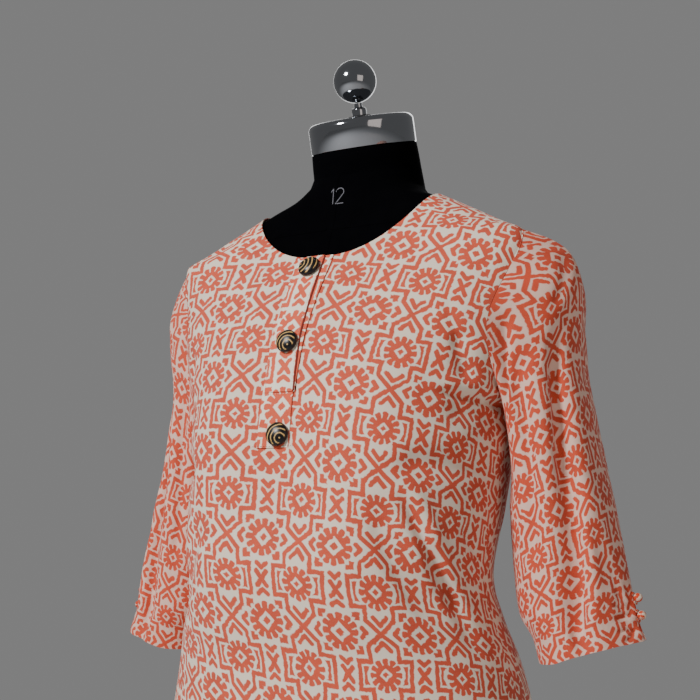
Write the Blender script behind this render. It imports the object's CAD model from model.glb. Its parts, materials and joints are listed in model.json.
# %% [markdown]
# # A block-printed kurta on a dress form
#
# A kurta is a loose tunic. This one is cut from four large pieces of printed cotton, a
# front, a back and two sleeves, and it opens at the neck with a buttoned placket. It is
# worn on a padded dress form with a chrome cap, and the form stands on a pole.
#
# Every piece of cloth here is a surface worked out by a formula. The same formulas made
# the solids that are loaded first, so each finer piece lies where its solid lies.

# %% The frame
import json
import math

import bpy
import numpy as np
from mathutils import Matrix, Vector

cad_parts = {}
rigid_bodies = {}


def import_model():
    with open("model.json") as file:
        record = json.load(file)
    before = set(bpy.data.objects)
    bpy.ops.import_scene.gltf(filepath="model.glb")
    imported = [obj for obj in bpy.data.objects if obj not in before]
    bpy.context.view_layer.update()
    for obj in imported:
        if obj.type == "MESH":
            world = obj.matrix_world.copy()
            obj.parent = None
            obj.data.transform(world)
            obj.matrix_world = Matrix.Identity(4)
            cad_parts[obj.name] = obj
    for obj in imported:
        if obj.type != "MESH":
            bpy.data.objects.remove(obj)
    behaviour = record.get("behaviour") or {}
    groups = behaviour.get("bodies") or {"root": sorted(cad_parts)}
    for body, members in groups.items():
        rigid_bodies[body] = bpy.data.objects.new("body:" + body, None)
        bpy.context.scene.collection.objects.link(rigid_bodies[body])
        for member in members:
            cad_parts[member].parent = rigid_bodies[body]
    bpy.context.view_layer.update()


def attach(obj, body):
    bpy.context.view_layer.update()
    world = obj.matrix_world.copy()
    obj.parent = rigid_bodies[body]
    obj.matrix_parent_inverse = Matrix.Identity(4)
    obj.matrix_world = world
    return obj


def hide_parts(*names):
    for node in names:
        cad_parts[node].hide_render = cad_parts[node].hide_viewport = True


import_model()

# %% [markdown]
# ## Camera
#
# The camera stands a little below the bust, to the wearer's left, and looks up slightly.
# Its place and its lens came from the neck cap, the buttons and the shoulder line, which
# are known in the frame and can be read in the picture.

# %% Camera
CAMERA_PLACE = Vector((0.7511, -1.2747, 1.0153))
CAMERA_AHEAD = Vector((-0.50548, 0.85078, 0.14379))
FOCAL_PIXELS = 1413.4
PICTURE_PIXELS = 700


def aim(place, ahead):
    """Matrix of an object at a place whose -Z looks ahead and whose +X is level."""
    back = -ahead.normalized()
    right = Vector((0, 0, 1)).cross(back).normalized()
    up = back.cross(right)
    turn = Matrix((right, up, back)).transposed().to_4x4()
    return Matrix.Translation(place) @ turn


def add_object(name, data, matrix=Matrix.Identity(4)):
    """A new object in the scene, placed by a matrix."""
    made = bpy.data.objects.new(name, data)
    bpy.context.collection.objects.link(made)
    made.matrix_world = matrix
    return made


camera_data = bpy.data.cameras.new("camera")
camera_data.sensor_width = 36
camera_data.lens = 36 * FOCAL_PIXELS / PICTURE_PIXELS
camera = add_object("camera", camera_data, aim(CAMERA_PLACE, CAMERA_AHEAD))
bpy.context.scene.camera = camera
print("lens in millimetres:", round(camera_data.lens, 2))

# %% [markdown]
# ## Sizes of the kurta
#
# A dressmaker works from a table of body sections: how wide the cloth is at each height,
# how far it reaches to the front and back, where its side seam runs and how square the
# section is. The same tables are used here as for the solids, so both models agree.

# %% Heights and sections of the body
NECK_POINT_Z = 1.385        # where the shoulder seam meets the neckline
SHOULDER_TIP_Z = 1.332      # where the shoulder seam meets the sleeve
UNDERARM_Z = 1.165
SLIT_TOP_Z = 0.720          # the side seams are sewn down to here
HEM_Z = 0.430
NECK_POINT_X = 0.105
NECK_DROP_FRONT = 0.066     # neck point down to the centre front
NECK_DROP_BACK = 0.020
SEAM_GAP = 0.0003           # air between sewn or resting pieces
# Each row: height, half width, y of the front, of the back and of the side seam, and how
# square the section is, where 2 is an ellipse.
KURTA_SECTIONS = (
    (0.430, 0.232, -0.170, 0.168, -0.014, 2.05),
    (0.720, 0.213, -0.155, 0.154, -0.014, 2.1),
    (0.875, 0.189, -0.145, 0.131, -0.015, 2.15),
    (0.915, 0.180, -0.144, 0.118, -0.020, 2.15),
    (0.950, 0.169, -0.150, 0.098, -0.026, 2.2),
    (0.995, 0.160, -0.154, 0.080, -0.028, 2.2),
    (1.060, 0.166, -0.140, 0.097, -0.013, 2.25),
    (1.100, 0.170, -0.133, 0.106, -0.004, 2.25),
    (1.140, 0.175, -0.127, 0.113, 0.003, 2.25),
    (1.165, 0.179, -0.124, 0.114, 0.006, 2.25),
    (1.225, 0.196, -0.1135, 0.114, -0.004, 2.15),
    (1.260, 0.200, -0.099, 0.112, -0.013, 2.1),
    (1.290, 0.203, -0.083, 0.109, -0.018, 2.0),
    (1.319, 0.2055, -0.066, 0.105, -0.022, 2.0),
    (1.332, 0.2036, -0.060, 0.103, -0.0226, 2.0),
    (1.345, 0.180, -0.0545, 0.101, -0.018, 2.0),
    (1.365, 0.143, -0.0470, 0.098, -0.010, 2.0),
    (1.385, 0.105, -0.0425, 0.095, -0.002, 2.0),
    (1.400, 0.077, -0.0400, 0.093, 0.004, 2.0),
)
BUST_X = 0.085
BUST_Z = 1.128
BUST_RISE = 0.019
BUST_ACROSS = 0.043
BUST_ABOVE = 0.052
BUST_BELOW = 0.105
FORM_BUST_RISE = 0.012
SLIT_HALF_GAP = 0.011       # half gap of the side slit at the hem
ARMHOLE_FRONT = 26.0
ARMHOLE_BACK = 25.0
UNDERARM_SHARE = 0.62
TIP_SHARE = 0.84
BODY_RADIUS = 0.150         # mean radius, by which angles round the body become metres
WAVES_START_Z = 0.880
BODY_FOLDS = (
    (30, 1.060, 60, 0.955, 0.014, 0.0060),
    (40, 1.085, 68, 0.985, 0.014, -0.0025),
    (58, 1.020, 74, 0.930, 0.013, 0.0045),
    (38, 1.100, 76, 1.098, 0.013, 0.0055),
    (34, 1.120, 66, 1.122, 0.014, -0.0022),
    (52, 1.225, 60, 1.180, 0.010, 0.0050),
    (-52, 1.225, -60, 1.180, 0.010, 0.0050),
    (-38, 1.100, -74, 1.104, 0.013, 0.0050),
    (-30, 1.050, -58, 0.950, 0.015, 0.0050),
    (-58, 1.010, -72, 0.930, 0.013, 0.0040),
    (150, 1.080, 122, 0.985, 0.018, 0.0050),
    (-147, 1.070, -120, 0.975, 0.018, 0.0050),
    (174, 1.030, 156, 0.940, 0.020, 0.0040),
    (-170, 1.010, -152, 0.920, 0.020, 0.0040),
    (128, 1.235, 112, 1.180, 0.012, 0.0038),
    (-128, 1.235, -112, 1.180, 0.012, 0.0038),
)
SKIRT_WAVES = ((6, 0.6, 0.0050), (9, 2.1, 0.0030), (4, 1.0, 0.0040))
print("sections of the body:", len(KURTA_SECTIONS), "folds:", len(BODY_FOLDS))

# %% [markdown]
# ## Curves and sections
#
# A section is a rounded figure between an ellipse and a rectangle. Its widths and depths
# are read from the table as smooth curves of height. The bust and every crease are then
# added as small moves in or out.

# %% Curves and sections
def smoothstep(x):
    """0 below 0, 1 above 1, and a smooth rise between."""
    x = np.clip(x, 0.0, 1.0)
    return x * x * (3 - 2 * x)


def table_values(table, heights):
    """The values of a table's columns at heights, read from smooth curves that don't
    overshoot between its rows (monotone cubics)."""
    rows = np.array(table, float)
    z, v = rows[:, 0], rows[:, 1:]
    slope = np.diff(v, axis=0) / np.diff(z)[:, None]
    same = slope[:-1] * slope[1:] > 0
    both = np.where(same, slope[:-1] + slope[1:], 1.0)
    tangent = np.zeros_like(v)
    tangent[1:-1] = np.where(same, 2 * slope[:-1] * slope[1:] / both, 0.0)
    tangent[0], tangent[-1] = slope[0], slope[-1]
    heights = np.clip(heights, z[0], z[-1])
    i = np.clip(np.searchsorted(z, heights) - 1, 0, len(slope) - 1)
    h = np.expand_dims(z[i + 1] - z[i], -1)
    t = np.expand_dims(heights - z[i], -1) / h
    values = (
        v[i] * (2 * t**3 - 3 * t**2 + 1)
        + tangent[i] * h * (t**3 - 2 * t**2 + t)
        + v[i + 1] * (3 * t**2 - 2 * t**3)
        + tangent[i + 1] * h * (t**3 - t**2)
    )
    return np.moveaxis(values, -1, 0)


def wrap(angle):
    """An angle counted from minus half a turn to half a turn."""
    return np.arctan2(np.sin(angle), np.cos(angle))


def unit(vectors):
    """Vectors with the same directions, each 1 long."""
    return vectors / np.maximum(np.linalg.norm(vectors, axis=-1, keepdims=True), 1e-12)


def lengths_along(points, axis=0):
    """Lengths from the first point of each line of points: sums of the distances between
    neighbours on one axis of a grid."""
    steps = np.linalg.norm(np.diff(points, axis=axis), axis=-1)
    return np.insert(np.cumsum(steps, axis=axis), 0, 0.0, axis=axis)


def signed_power(value, power):
    """A power of the size of a value, with the value's sign."""
    return np.sign(value) * np.abs(value) ** power


def section_points(table, angle, height):
    """Points of the rounded section at angles from the centre front towards +X."""
    half_width, front, back, side, square = table_values(table, height)
    end = np.where(np.cos(angle) >= 0, front, back)
    x = half_width * signed_power(np.sin(angle), 2 / square)
    y = side + (end - side) * np.abs(np.cos(angle)) ** (2 / square)
    return np.stack([x, y, np.broadcast_to(height, x.shape)], axis=-1)


def bust_rise(points, angle, rise):
    """How far the bust lifts each point of the front."""
    across = (np.abs(points[..., 0]) - BUST_X) / BUST_ACROSS
    up = points[..., 2] - BUST_Z
    up = up / np.where(up > 0, BUST_ABOVE, BUST_BELOW)
    facing = smoothstep(np.cos(angle) / 0.4)
    return rise * np.exp(-(across**2 + up**2) / 2) * facing


def crease(across, along, start, end, half_width, depth):
    """Depth of one crease at points given as metres across and along: a rounded trough
    on the line from start to end that fades out at both ends."""
    line = (end[0] - start[0], end[1] - start[1])
    length = math.hypot(*line)
    da, db = across - start[0], along - start[1]
    t = (da * line[0] + db * line[1]) / length**2
    off = (da * line[1] - db * line[0]) / length
    fade = smoothstep((t + 0.15) / 0.35) * smoothstep((1.15 - t) / 0.35)
    return depth * np.exp(-((off / half_width) ** 2)) * fade


def kurta_surface(angle, height):
    """Outer surface of the kurta's body, with its bust, creases and skirt waves."""
    points = section_points(KURTA_SECTIONS, angle, height)
    rise = bust_rise(points, angle, BUST_RISE)
    for a1, z1, a2, z2, half_width, depth in BODY_FOLDS:
        across = wrap(angle - math.radians(a1)) * BODY_RADIUS
        end = (math.radians(a2 - a1) * BODY_RADIUS, z2)
        rise = rise - crease(across, height, (0.0, z1), end, half_width, depth)
    low = smoothstep((WAVES_START_Z - height) / (WAVES_START_Z - HEM_Z))
    for cycles, phase, depth in SKIRT_WAVES:
        rise = rise + low * depth * np.sin(cycles * angle + phase)
    out = np.stack([np.sin(angle), -np.cos(angle), np.zeros_like(angle)], axis=-1)
    return points + rise[..., None] * out


def normals_of(surface, first, second, step_1, step_2):
    """Unit normals of a surface of two parameters, by differences either way."""
    d1 = surface(first + step_1, second) - surface(first - step_1, second)
    d2 = surface(first, second + step_2) - surface(first, second - step_2)
    return unit(np.cross(d1, d2))


def kurta_normals(angle, height):
    """Outward normals of the kurta's body."""
    return normals_of(kurta_surface, angle, height, 0.04, 0.004)


waist = section_points(KURTA_SECTIONS, np.array([0.0, math.pi]), np.array([0.995, 0.995]))
print("depth of the waist in metres:", np.ptp(waist[:, 1]).round(3))

# %% [markdown]
# ## The panels' edges
#
# A panel ends at its side seam, at the armhole, at the shoulder seam and at the neckline.
# The armhole is cut inwards in a curve, and the side seam opens into a slit below the
# hip. A grid of rows and columns is fitted between those edges, so every edge of the
# cloth is a clean line of points.

# %% Edges of a panel
def seam_angle(gap, height, back):
    """Angle of the section over which its y changes by a gap next to the side."""
    _, front_y, back_y, side, square = table_values(KURTA_SECTIONS, height)
    depth = np.abs((back_y if back else front_y) - side)
    return (gap / depth) ** (square / 2)


def side_edge(t, back):
    """Angle from the panel's own middle and height of its side edge at shares t of its
    length: up the side seam, round the armhole and along the shoulder seam."""
    knots = (0.0, UNDERARM_SHARE, TIP_SHARE, 1.0)
    heights = (HEM_Z, UNDERARM_Z, SHOULDER_TIP_Z, NECK_POINT_Z)
    height = np.interp(t, knots, heights)
    s = (t - UNDERARM_SHARE) / (TIP_SHARE - UNDERARM_SHARE)
    s = np.clip(s, 0, 1)
    turn = ARMHOLE_BACK if back else ARMHOLE_FRONT
    inward = math.radians(turn) * np.abs(np.sin(math.pi * s**0.8)) ** 0.85
    opening = ((SLIT_TOP_Z - height) / (SLIT_TOP_Z - HEM_Z)).clip(0, 1)
    gap = SEAM_GAP / 2 + SLIT_HALF_GAP * opening**1.5
    return math.pi / 2 - inward - seam_angle(gap, height, back), height


def x_to_angle(x, height):
    """Angle at which the section at a height has this x."""
    half_width, _, _, _, square = table_values(KURTA_SECTIONS, height)
    share = np.clip(np.abs(x) / half_width, 0, 1)
    return np.sign(x) * np.arcsin(share ** (square / 2))


def neckline_height(share, back):
    """Height of the neckline at shares of its half width: a rounded bowl."""
    drop = NECK_DROP_BACK if back else NECK_DROP_FRONT
    return NECK_POINT_Z - drop * (1 - np.abs(share).clip(0, 1) ** 2.4) ** 0.8


def panel_grid(columns, rows, back):
    """Angles and heights of a panel's points. Rows run from the hem up and end in the
    neckline. Columns run between the side edges, and crowd towards them near the
    neckline, which turns quickest at the shoulder."""
    side_angle, side_height = side_edge(rows, back)
    pull = (((rows - UNDERARM_SHARE) / (1 - UNDERARM_SHARE)).clip(0, 1) ** 1.6)[:, None]
    share = columns + (np.sin(columns * math.pi / 2) - columns) * pull**2
    bend = smoothstep((rows - 0.42) / (1 - 0.42))[:, None]
    drop = NECK_POINT_Z - neckline_height(share, back)
    height = side_height[:, None] - bend * drop
    spread = side_angle[:, None] * share
    neck = x_to_angle(NECK_POINT_X * share, height)
    neck = neck / x_to_angle(NECK_POINT_X, side_height)[:, None] * side_angle[:, None]
    angle = spread * (1 - pull) + neck * pull
    if back:
        angle = math.pi - angle
    return angle, height


drops = [neckline_height(np.array(0.0), back).round(3) for back in (False, True)]
print("neckline's lowest heights, front and back:", [float(drop) for drop in drops])

# %% [markdown]
# ## From a grid to a piece of cloth
#
# A sheet of cloth in Blender can be one layer with a Solidify modifier. Here the second
# layer is worked out directly, because the print needs flat coordinates that stay true
# up to the very edge: each corner gets its place on the flat cloth, in metres, as its UV.

# %% Building cloth
CLOTH_WALL = 0.0009


def grid_normals(points):
    """Unit normals of a grid: the cross product of its differences along the rows and
    along the columns."""
    return unit(np.cross(np.gradient(points, axis=1), np.gradient(points, axis=0)))


def grid_cells(index):
    """The four corners of every cell of a grid, counterclockwise from its first row."""
    return np.stack([index[:-1, :-1], index[:-1, 1:], index[1:, 1:], index[1:, :-1]], axis=-1)


def new_piece(name, points, faces, material, sharp=None, uv=None):
    """A finished mesh object at the origin. uv holds one pair for each face corner, and
    edges turned by more than sharp degrees stay crisp."""
    mesh = bpy.data.meshes.new(name)
    mesh.from_pydata(np.asarray(points).tolist(), [], faces)
    if uv is not None:
        layer = mesh.uv_layers.new(name="flat")
        layer.data.foreach_set("uv", np.ascontiguousarray(uv, np.float32).ravel())
    mesh.shade_smooth()
    if sharp is not None:
        mesh.set_sharp_from_angle(angle=math.radians(sharp))
    mesh.materials.append(material)
    return add_object(name, mesh)


def wall_piece(name, wall, material):
    """A piece made from a wall's points, faces and UV, without its unused points."""
    points, faces, uv = wall
    used, kept = np.unique(faces, return_inverse=True)
    return new_piece(name, points[used], kept.reshape(-1, 4).tolist(), material, 50, uv)


def skin(name, rings, ends, material, sharp=None):
    """A closed skin over rings of points: cells between the rings, and a fan of
    triangles from each of the two end points."""
    rows, steps = rings.shape[:2]
    index = np.arange(rows * steps).reshape(rows, steps)
    index = np.concatenate([index, index[:, :1]], axis=1)
    low = np.full(steps, rows * steps)
    first = np.stack([low, index[0, 1:], index[0, :-1]], axis=1)
    last = np.stack([low + 1, index[-1, :-1], index[-1, 1:]], axis=1)
    faces = grid_cells(index).reshape(-1, 4).tolist() + first.tolist() + last.tolist()
    return new_piece(name, np.concatenate([rings.reshape(-1, 3), ends]), faces, material, sharp)


def wall_of(outer, inner, uv, cut=None, closed=None, split=None, uv_after=None):
    """Points, faces and UV of a wall between two grids, closed round every edge. Cells
    marked cut are left open, and rows marked closed join their last column to their
    first. From column split on, uv_after is used."""
    rows, columns = outer.shape[:2]
    plain = np.arange(rows * columns).reshape(rows, columns)
    joined = plain.copy()
    if closed is not None:
        joined[closed, -1] = joined[closed, 0]
    keep = np.ones((rows - 1, columns - 1), bool) if cut is None else ~cut
    cells = grid_cells(joined)[keep]
    corners = grid_cells(plain)
    flat = uv.reshape(-1, 2)[corners]
    if split is not None:
        flat[:, split:] = uv_after.reshape(-1, 2)[corners[:, split:]]
    flat = flat[keep]
    shift = rows * columns
    start = cells.ravel()
    end = np.roll(cells, -1, axis=1).ravel()
    start_uv = flat.reshape(-1, 2)
    end_uv = np.roll(flat, -1, axis=1).reshape(-1, 2)
    key = np.minimum(start, end) * shift + np.maximum(start, end)
    _, where, count = np.unique(key, return_inverse=True, return_counts=True)
    rim = count[where] == 1
    a, b = start[rim], end[rim]
    rim_faces = np.stack([b, a, a + shift, b + shift], axis=-1)
    rim_uv = np.stack([end_uv[rim], start_uv[rim], start_uv[rim], end_uv[rim]], axis=1)
    faces = np.concatenate([cells, cells[:, ::-1] + shift, rim_faces])
    all_uv = np.concatenate([flat, flat[:, ::-1], rim_uv])
    points = np.concatenate([outer.reshape(-1, 3), inner.reshape(-1, 3)])
    return points, faces, all_uv


print("cloth wall in millimetres:", CLOTH_WALL * 1000)

# %% [markdown]
# ## Shader sums
#
# A block print is drawn with arithmetic on the cloth's flat coordinates. Writing each
# Math node by hand would hide the drawing, so a small class lets a socket take part in
# ordinary Python expressions, and each operator adds one Math node.

# %% A socket that can be added and multiplied
class Number:
    """A shader socket that carries one number. Each operator adds one Math node."""

    def __init__(self, paint, socket):
        self.paint = paint
        self.socket = socket

    def maths(self, operation, *others, clamp=False):
        """The number worked on by one Math node, with up to two others."""
        settings = {"operation": operation, "use_clamp": clamp}
        return self.paint.node("ShaderNodeMath", settings, dict(enumerate((self, *others))))

    def __add__(self, other):
        return self.maths("ADD", other)

    def __sub__(self, other):
        return self.maths("SUBTRACT", other)

    def __rsub__(self, other):
        return self.maths("MULTIPLY_ADD", -1.0, other)

    def __mul__(self, other):
        return self.maths("MULTIPLY", other)

    def __truediv__(self, other):
        return self.maths("DIVIDE", other)

    def __neg__(self):
        return self.maths("MULTIPLY", -1.0)

    def __abs__(self):
        return self.maths("ABSOLUTE")

    def least(self, other):
        return self.maths("MINIMUM", other)

    def most(self, other):
        return self.maths("MAXIMUM", other)

    def root(self):
        return self.maths("SQRT")

    def fract(self):
        """What is left after the whole part is taken off."""
        return self.maths("FRACT")

    def within(self):
        """The number, kept between 0 and 1."""
        return self.maths("ADD", 0.0, clamp=True)

    __radd__ = __add__
    __rmul__ = __mul__


class Paint:
    """A material and its nodes."""

    def __init__(self, name):
        self.material = bpy.data.materials.new(name)
        self.material.use_nodes = True
        self.tree = self.material.node_tree
        self.tree.nodes.clear()
        self.surface = self.tree.nodes.new("ShaderNodeBsdfPrincipled")
        output = self.tree.nodes.new("ShaderNodeOutputMaterial")
        self.tree.links.new(self.surface.outputs[0], output.inputs[0])

    def put(self, socket, value):
        """Sets a socket, or links it where the value comes from another node."""
        if isinstance(value, Number):
            self.tree.links.new(value.socket, socket)
        else:
            socket.default_value = value

    def node(self, kind, settings=None, inputs=None, output=0):
        """Any node: its settings first, then the values or links of its sockets."""
        made = self.tree.nodes.new(kind)
        for name, value in (settings or {}).items():
            setattr(made, name, value)
        for name, value in (inputs or {}).items():
            self.put(made.inputs[name], value)
        return Number(self, made.outputs[output])

    def finish(self, **values):
        """Sets or links the surface's sockets, such as Base_Color."""
        for name, value in values.items():
            self.put(self.surface.inputs[name.replace("_", " ")], value)
        return self.material

    def mix(self, factor, first, second):
        """A colour between two colours."""
        return self.node(
            "ShaderNodeMix", {"data_type": "RGBA"}, {0: factor, 6: first, 7: second}, 2
        )

    def noise(self, vector, scale, detail=2.0):
        """Noise from 0 to 1 on a vector."""
        inputs = {"Vector": vector, "Scale": scale, "Detail": detail}
        return self.node("ShaderNodeTexNoise", {"noise_dimensions": "3D"}, inputs)

    def bump(self, height, distance, strength=1.0):
        """A normal tilted by the slopes of a height."""
        inputs = {"Height": height, "Distance": distance, "Strength": strength}
        return self.node("ShaderNodeBump", {}, inputs)

    def flat(self):
        """The piece's own flat coordinates."""
        return self.node("ShaderNodeUVMap", {"uv_map": "flat"})

    def place(self):
        """Object coordinates, which here are metres from the origin."""
        return self.node("ShaderNodeTexCoord", {}, {}, 3)

    def moved(self, vector, operation, amounts):
        """A vector with amounts added or multiplied, as the operation says."""
        return self.node("ShaderNodeVectorMath", {"operation": operation}, {0: vector, 1: amounts})

    def two(self, vector):
        """The first two numbers of a vector."""
        x = self.node("ShaderNodeSeparateXYZ", {}, {0: vector})
        return x, Number(self, x.socket.node.outputs[1])


def linear(red, green, blue):
    """A colour read as 0 to 255 turned into the light values a shader uses."""
    values = np.array([red, green, blue]) / 255
    values = np.where(values <= 0.04045, values / 12.92, ((values + 0.055) / 1.055) ** 2.4)
    return (*[float(v) for v in values], 1.0)


print("one operator adds one node")

# %% [markdown]
# ## The block print
#
# The cloth is printed by hand from a carved wooden block. The repeat is about 80 mm
# square: two rosettes of petals, stepped lattice lines that cross between them, and small
# chevrons, brackets and hearts in the spaces left. It is the same when mirrored either
# way, so only a quarter of it is drawn, on folded coordinates. Each shape is a distance,
# below zero inside it, and the least of all the distances is the printed area.

# %% Shapes of the print
CELL = 0.080


def line(x, y, start, end, half_width):
    """Distance to a straight stroke with round ends."""
    dx, dy = end[0] - start[0], end[1] - start[1]
    square = dx * dx + dy * dy
    px, py = x - start[0], y - start[1]
    t = (px * (dx / square)).maths("ADD", py * (dy / square), clamp=True)
    ex, ey = px - t * dx, py - t * dy
    return (ex * ex + ey * ey).root() - half_width


def block(x, y, centre, half):
    """Distance-like depth of a square-cornered block: the larger of its two sides'."""
    return (abs(x - centre[0]) - half[0]).most(abs(y - centre[1]) - half[1])


def rosette(x, y, outer, slit_from, slit_half, diamond):
    """Twelve rounded petals round a disc with a diamond ring left white."""
    radius = (x * x + y * y).root()
    turn = y.maths("ARCTAN2", x) * (6 / math.pi)
    offset = abs((turn + 0.5).fract() - 0.5) * 2
    petals = radius - (outer + 0.004) + offset * offset * offset * 0.036
    side = (1 - offset) * radius * (math.pi / 12)
    widening = (radius - slit_from) * 0.10 + slit_half
    slits = (side - widening).most(slit_from - radius)
    corner = abs(x) + abs(y)
    ring = abs(corner - (diamond[0] + diamond[1]) / 2) * 0.7071
    ring = ring - (diamond[1] - diamond[0]) / 2 * 0.7071
    return petals.most(-slits).most(-ring)


def print_depth(x, y):
    """The least of the distances to all shapes of the repeat, in repeats. x and y are
    folded: 0 to a half from the first rosette's centre."""
    far_x, far_y = 0.5 - x, 0.5 - y
    hollow_edge = 0.250 - y * y * 2.8
    notch = (0.306 - x).most(0.306 - y)
    shapes = (
        rosette(x, y, 0.206, 0.136, 0.007, (0.042, 0.083)),
        rosette(far_x, far_y, 0.230, 0.158, 0.007, (0.057, 0.118)),
        block(x, y, (0.336, 0.0), (0.029, 0.202)),
        block(x, y, (0.256, 0.173), (0.109, 0.030)),
        block(x, y, (0.178, 0.250), (0.029, 0.107)),
        block(x, y, (0.297, 0.297), (0.053, 0.053)).most(-notch),
        (x - 0.284).most(hollow_edge - x).most(y - 0.116),
        line(x, y, (0.172, 0.348), (0.0, 0.500), 0.030),
        line(x, y, (0.0, 0.392), (0.086, 0.300), 0.030),
        line(far_x, y, (0.0, 0.0), (0.064, 0.086), 0.031),
        line(far_x, y, (0.0, 0.134), (0.064, 0.186), 0.030),
        line(x, y, (0.172, 0.500), (0.226, 0.440), 0.030),
    )
    depth = shapes[0]
    for shape in shapes[1:]:
        depth = depth.least(shape)
    return depth


print("repeat in millimetres:", CELL * 1000)

# %% [markdown]
# ## Printed cotton
#
# The cloth is an off-white plain weave. Hand printing leaves edges that waver by half a
# millimetre, ink that is thinner in places and a repeat that is never quite in line. Two
# noises bend the coordinates and fray the edges, and a fine weave goes into the bump.

# %% Printed cotton
CLOTH_WHITE = linear(222, 209, 192)
CLOTH_WARM = linear(224, 203, 180)
INK = linear(198, 56, 8)
INK_DEEP = linear(174, 44, 8)


def printed_cotton(name, shift, ink=INK, deep=INK_DEEP, white=CLOTH_WHITE, warm=CLOTH_WARM):
    """Off-white plain weave with the orange repeat, moved by shift in metres."""
    paint = Paint(name)
    flat = paint.flat()
    wander = paint.noise(flat, 26.0, 1.0)
    wander_up = paint.noise(paint.moved(flat, "ADD", (3.1, 7.7, 0.0)), 26.0, 1.0)
    u, v = paint.two(flat)
    shake = (paint.noise(flat, 210.0, 1.0) - 0.5) * 0.034
    column = (u - shift[0]) / CELL + (wander - 0.5) * 0.07 + shake
    row = (v - shift[1]) / CELL + (wander_up - 0.5) * 0.07 - shake
    x = abs((column + 0.5).fract() - 0.5)
    y = abs((row + 0.5).fract() - 0.5)
    fray = paint.noise(flat, 900.0, 2.0)
    depth = print_depth(x, y) + (fray - 0.5) * 0.014
    printed = (0.5 - depth * 90.0).within()
    patchy = paint.noise(flat, 55.0, 3.0)
    grain = paint.noise(flat, 1500.0, 2.0)
    thin = ((patchy - 0.42) * 2.2).within()
    ink_colour = paint.mix(thin, ink, deep)
    cover = printed * (0.93 + (grain - 0.5) * 0.30)
    ground = paint.mix(((patchy - 0.35) * 1.6).within(), white, warm)
    colour = paint.mix(cover.within(), ground, ink_colour)
    threads_up = paint.moved(flat, "MULTIPLY", (2200.0, 260.0, 1.0))
    threads_across = paint.moved(flat, "MULTIPLY", (260.0, 2200.0, 1.0))
    weave = paint.noise(threads_up, 1.0, 1.0) + paint.noise(threads_across, 1.0, 1.0)
    soft = paint.noise(flat, 70.0, 2.0)
    normal = paint.bump(weave * 0.5 + soft * 1.2, 0.0004, 0.6)
    return paint.finish(
        Base_Color=colour, Roughness=0.82 - printed * 0.06, Normal=normal,
        Specular_IOR_Level=0.25, Sheen_Weight=0.12, Sheen_Roughness=0.5,
    )


FRONT_SHIFT = (0.020, 0.0)
SLEEVE_SHIFT = (0.040, 0.040)
BAND_SHIFT = (0.0325, -0.0015)
front_cotton = printed_cotton("printed_cotton_front", FRONT_SHIFT)
back_cotton = printed_cotton("printed_cotton_back", FRONT_SHIFT)
sleeve_white, sleeve_warm = linear(220, 184, 168), linear(222, 178, 158)
sleeve_cotton = printed_cotton(
    "printed_cotton_sleeve", SLEEVE_SHIFT, INK, INK_DEEP, sleeve_white, sleeve_warm
)
band_ink = linear(214, 66, 14)
band_white, band_warm = linear(240, 230, 212), linear(242, 228, 204)
band_cotton = printed_cotton(
    "printed_cotton_band", BAND_SHIFT, band_ink, INK, band_white, band_warm
)
print("nodes in the print:", len(front_cotton.node_tree.nodes))

# %% [markdown]
# ## Plain finishes
#
# The form is covered in black jersey, the finial, cap and stand are chromed, and the
# buttons are glossy black with cream lines inlaid in curves.

# %% Jersey, chrome, thread and rubber
def jersey():
    """Black knitted cloth: nearly no colour, with fine ribs in the bump."""
    paint = Paint("black_jersey")
    place = paint.place()
    ribs = paint.moved(place, "MULTIPLY", (1400.0, 1400.0, 420.0))
    knit = paint.noise(ribs, 1.0, 1.0)
    lint = paint.noise(place, 60.0, 3.0)
    colour = paint.mix(lint, (0.0006, 0.0006, 0.0010, 1), (0.0014, 0.0014, 0.0020, 1))
    normal = paint.bump(knit, 0.0002, 0.5)
    return paint.finish(
        Base_Color=colour, Roughness=0.95, Normal=normal, Specular_IOR_Level=0.02
    )


def chromed(name, colour=(0.27, 0.28, 0.30, 1)):
    """Polished chrome with a faint haze in the plating."""
    paint = Paint(name)
    haze = paint.noise(paint.place(), 90.0, 3.0)
    return paint.finish(Base_Color=colour, Roughness=0.05 + haze * 0.07, Metallic=1.0)


def plain(name, colour, roughness, scale, change=0.25):
    """One colour that varies a little, with a bump of the same noise."""
    paint = Paint(name)
    place = paint.place()
    spots = paint.noise(place, scale, 2.0)
    darker = tuple(c * (1 - change) for c in colour[:3]) + (1,)
    normal = paint.bump(spots, 0.0001, 0.4)
    return paint.finish(
        Base_Color=paint.mix(spots, colour, darker), Roughness=roughness, Normal=normal
    )


black_jersey = jersey()
chrome = chromed("chrome")
black_rubber = plain("black_rubber", (0.015, 0.015, 0.016, 1), 0.6, 700.0)
white_thread = plain("white_thread", linear(226, 218, 204), 0.8, 2500.0)
dark_thread = plain("dark_thread", linear(96, 40, 36), 0.8, 2500.0)
numeral_paint = plain("grey_paint", linear(112, 112, 120), 0.7, 900.0)
print("finishes:", len(bpy.data.materials))

# %% [markdown]
# ## Flat coordinates of the body
#
# The cloth was printed while flat, so the print must follow lengths on the cloth and not
# angles round the body. A table holds the length along each level line from the centre
# front or centre back, and the length up each line from bust height.

# %% Lengths on the body
TABLE_ANGLES = np.linspace(-math.pi, math.pi, 361)
TABLE_HEIGHTS = np.linspace(HEM_Z, 1.400, 195)
LENGTHS_START_Z = 1.148


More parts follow.
